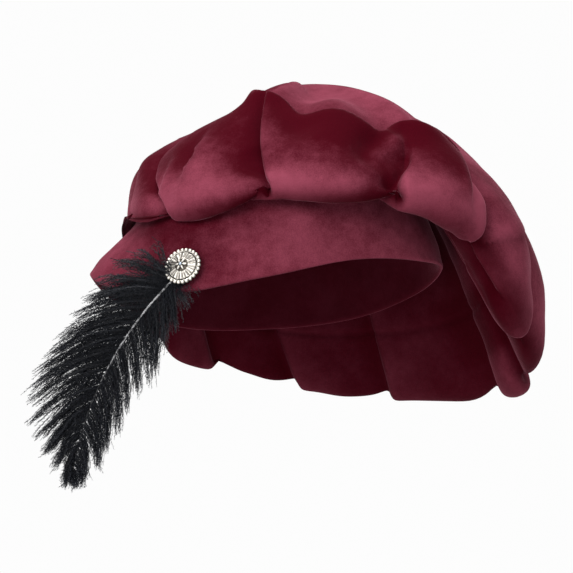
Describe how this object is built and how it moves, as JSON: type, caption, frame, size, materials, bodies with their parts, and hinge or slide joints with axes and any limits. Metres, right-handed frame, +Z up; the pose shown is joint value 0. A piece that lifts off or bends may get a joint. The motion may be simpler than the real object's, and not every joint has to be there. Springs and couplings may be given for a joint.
{
  "type": "medieval beret",
  "caption": "Slouched velvet beret: gathered round crown on a folded head band, with a round silver brooch pinning a black ostrich plume at the left temple.",
  "frame": {"origin": "middle of the oval head opening, at the height of the band's lower edge on the wearer's left, where a head goes in", "axes": "+Z up the wearer's head, -X towards the wearer's face, -Y towards the wearer's left, where the brooch and plume are"},
  "size_m": [0.2849, 0.2354, 0.247],
  "materials": {
    "crown_velvet": "dark wine cotton velvet, dusty pink where it is seen at a slant",
    "band_velvet": "the same velvet, folded double, with a flatter nap",
    "silver": "bright antique silver, darkened in the hollows",
    "plain_steel": "plain wire",
    "quill": "grey horn, satin",
    "plume": "dyed black ostrich barbs with a cool sheen"
  },
  "bodies": {
    "root": {"crown_top": "crown_velvet", "crown_under": "crown_velvet", "head_band": "band_velvet", "brooch_post": "plain_steel", "brooch_setting": "silver", "brooch_face": "silver", "brooch_star": "silver", "feather_shaft": "quill", "feather_vane": "plume"}
  },
  "joints": []
}
